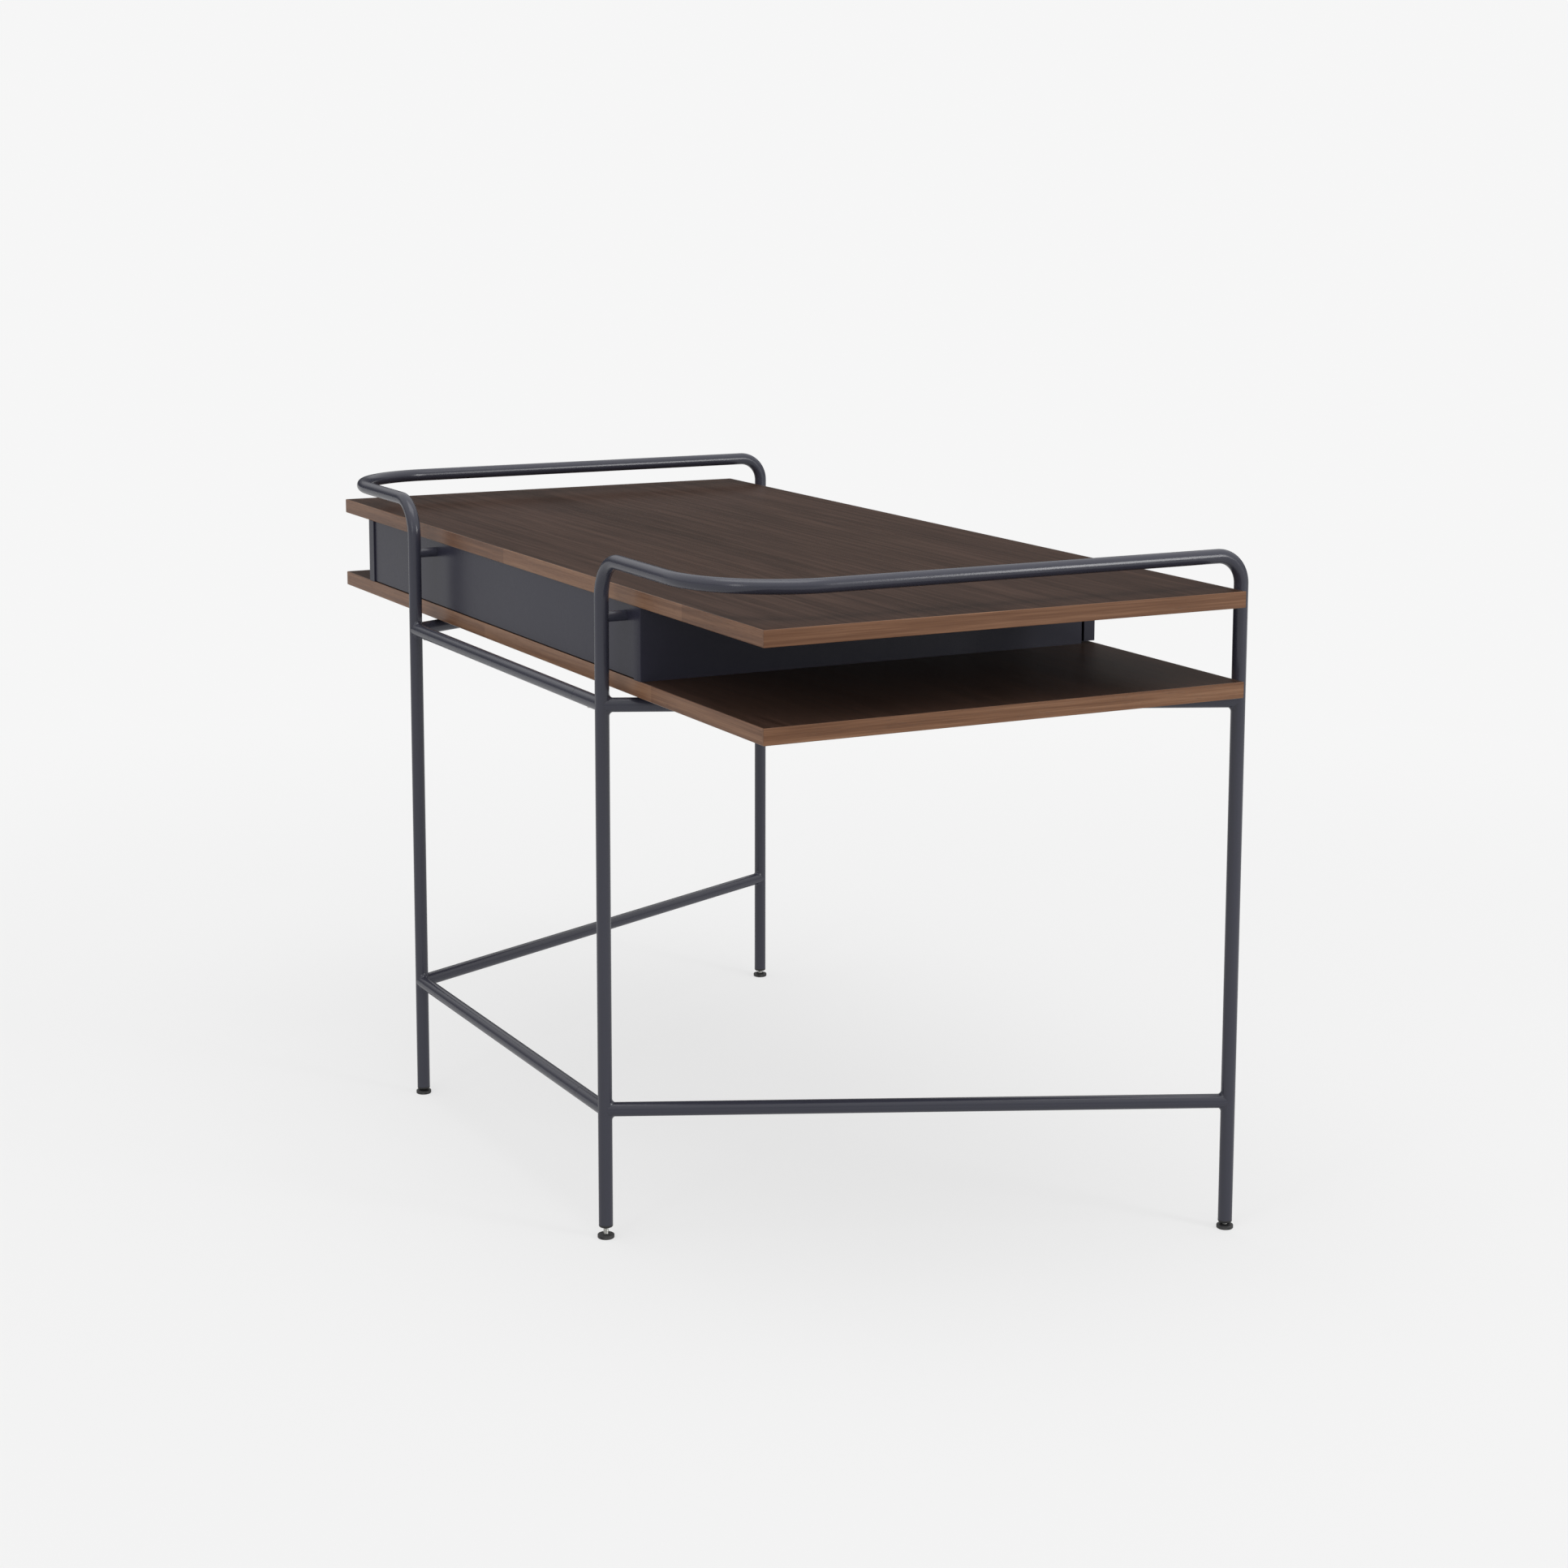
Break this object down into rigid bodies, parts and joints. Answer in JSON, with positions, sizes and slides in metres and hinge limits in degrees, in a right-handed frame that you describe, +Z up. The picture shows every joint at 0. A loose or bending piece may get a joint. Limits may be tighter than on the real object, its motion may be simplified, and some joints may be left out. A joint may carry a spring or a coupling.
{
  "type": "two-tier writing desk with drawers",
  "caption": "Two walnut boards with a drawer case set off-centre between them, on bent-tube side frames that rise past the boards as end rails.",
  "frame": {"origin": "on the floor, below the middle of the two boards", "axes": "+Z up, +X along the boards to a seated person's right, +Y away from the sitter"},
  "size_m": [1.25, 0.655, 0.777],
  "materials": {
    "tube_lacquer": "satin powder coat, dark blue-grey",
    "walnut_face": "dark walnut veneer, satin varnish",
    "walnut_edge": "walnut edge band, satin varnish",
    "case_lacquer": "satin dark grey-blue lacquer on board",
    "drawer_birch": "clear-varnished birch ply",
    "beech_dowel": "unfinished beech",
    "zinc_steel": "bright zinc plate",
    "runner_steel": "zinc-plated sheet",
    "ball_steel": "polished",
    "foot_plastic": "fine matt moulding"
  },
  "bodies": {
    "desk": {"side_frame_left": "tube_lacquer", "side_frame_right": "tube_lacquer", "side_bar_lower_left": "tube_lacquer", "side_bar_lower_right": "tube_lacquer", "side_bar_upper_left": "tube_lacquer", "side_bar_upper_right": "tube_lacquer", "back_bar_upper": "tube_lacquer", "back_bar_lower": "tube_lacquer", "bar_stubs": "tube_lacquer", "board_lugs": "tube_lacquer", "post_standoffs": "tube_lacquer", "bar_spigots": "zinc_steel", "bar_grub_screws": "zinc_steel", "lug_screws": "zinc_steel", "standoff_screws": "zinc_steel", "panel_screws": "zinc_steel", "runner_case_screws": "zinc_steel", "leg_plugs": "foot_plastic", "upper_board": "walnut_face", "lower_board": "walnut_face", "upper_edge_bands": "walnut_edge", "lower_edge_bands": "walnut_edge", "box_side_left": "case_lacquer", "box_side_right": "case_lacquer", "box_divider": "case_lacquer", "box_back_panel": "case_lacquer", "panel_dowels": "beech_dowel", "left_runner_case_members": "runner_steel", "right_runner_case_members": "runner_steel"},
    "left_drawer": {"left_drawer_front": "case_lacquer", "left_drawer_inner_front": "drawer_birch", "left_drawer_side_left": "drawer_birch", "left_drawer_side_right": "drawer_birch", "left_drawer_back": "drawer_birch", "left_drawer_bottom": "drawer_birch", "left_drawer_front_screws": "zinc_steel", "left_runner_drawer_members": "runner_steel", "left_runner_drawer_screws": "zinc_steel"},
    "left_ball_cages": {"left_runner_ball_cages": "runner_steel", "left_runner_balls": "ball_steel"},
    "right_drawer": {"right_drawer_front": "case_lacquer", "right_drawer_inner_front": "drawer_birch", "right_drawer_side_left": "drawer_birch", "right_drawer_side_right": "drawer_birch", "right_drawer_back": "drawer_birch", "right_drawer_bottom": "drawer_birch", "right_drawer_front_screws": "zinc_steel", "right_runner_drawer_members": "runner_steel", "right_runner_drawer_screws": "zinc_steel"},
    "right_ball_cages": {"right_runner_ball_cages": "runner_steel", "right_runner_balls": "ball_steel"},
    "foot_back_left": {"foot_pad_back_left": "foot_plastic"},
    "stud_back_left": {"foot_stud_back_left": "zinc_steel"},
    "foot_back_right": {"foot_pad_back_right": "foot_plastic"},
    "stud_back_right": {"foot_stud_back_right": "zinc_steel"},
    "foot_front_left": {"foot_pad_front_left": "foot_plastic"},
    "stud_front_left": {"foot_stud_front_left": "zinc_steel"},
    "foot_front_right": {"foot_pad_front_right": "foot_plastic"},
    "stud_front_right": {"foot_stud_front_right": "zinc_steel"}
  },
  "joints": [
    {"name": "left_drawer_slide", "type": "slide", "parent": "desk", "child": "left_drawer", "axis": [0, -1, 0], "range_m": [0, 0.33]},
    {"name": "left_ball_cage_slide", "type": "slide", "parent": "desk", "child": "left_ball_cages", "axis": [0, -1, 0], "range_m": [0, 0.165]},
    {"name": "right_drawer_slide", "type": "slide", "parent": "desk", "child": "right_drawer", "axis": [0, -1, 0], "range_m": [0, 0.33]},
    {"name": "right_ball_cage_slide", "type": "slide", "parent": "desk", "child": "right_ball_cages", "axis": [0, -1, 0], "range_m": [0, 0.165]},
    {"name": "foot_back_left_height", "type": "slide", "parent": "desk", "child": "foot_back_left", "axis": [0, 0, 1], "range_m": [-0.0132, 0.0072]},
    {"name": "stud_back_left_turn", "type": "hinge", "parent": "foot_back_left", "child": "stud_back_left", "pos_m": [-0.289, 0.318, 0], "axis": [0, 0, 1], "range_deg": [-4860, 2700]},
    {"name": "foot_back_right_height", "type": "slide", "parent": "desk", "child": "foot_back_right", "axis": [0, 0, 1], "range_m": [-0.0198, 0.0006]},
    {"name": "stud_back_right_turn", "type": "hinge", "parent": "foot_back_right", "child": "stud_back_right", "pos_m": [0.289, 0.318, 0], "axis": [0, 0, 1], "range_deg": [-7290, 360]},
    {"name": "foot_front_left_height", "type": "slide", "parent": "desk", "child": "foot_front_left", "axis": [0, 0, 1], "range_m": [-0.0188, 0.0016]},
    {"name": "stud_front_left_turn", "type": "hinge", "parent": "foot_front_left", "child": "stud_front_left", "pos_m": [-0.58, -0.318, 0], "axis": [0, 0, 1], "range_deg": [-6930, 720]},
    {"name": "foot_front_right_height", "type": "slide", "parent": "desk", "child": "foot_front_right", "axis": [0, 0, 1], "range_m": [-0.0172, 0.0032]},
    {"name": "stud_front_right_turn", "type": "hinge", "parent": "foot_front_right", "child": "stud_front_right", "pos_m": [0.58, -0.318, 0], "axis": [0, 0, 1], "range_deg": [-6300, 1260]}
  ],
  "couplings": [
    {"joint": "left_ball_cage_slide", "follows": "left_drawer_slide", "ratio": 0.5},
    {"joint": "right_ball_cage_slide", "follows": "right_drawer_slide", "ratio": 0.5},
    {"joint": "stud_back_left_turn", "follows": "foot_back_left_height", "rad_per_m": 6283.2},
    {"joint": "stud_back_right_turn", "follows": "foot_back_right_height", "rad_per_m": 6283.2},
    {"joint": "stud_front_left_turn", "follows": "foot_front_left_height", "rad_per_m": 6283.2},
    {"joint": "stud_front_right_turn", "follows": "foot_front_right_height", "rad_per_m": 6283.2}
  ]
}
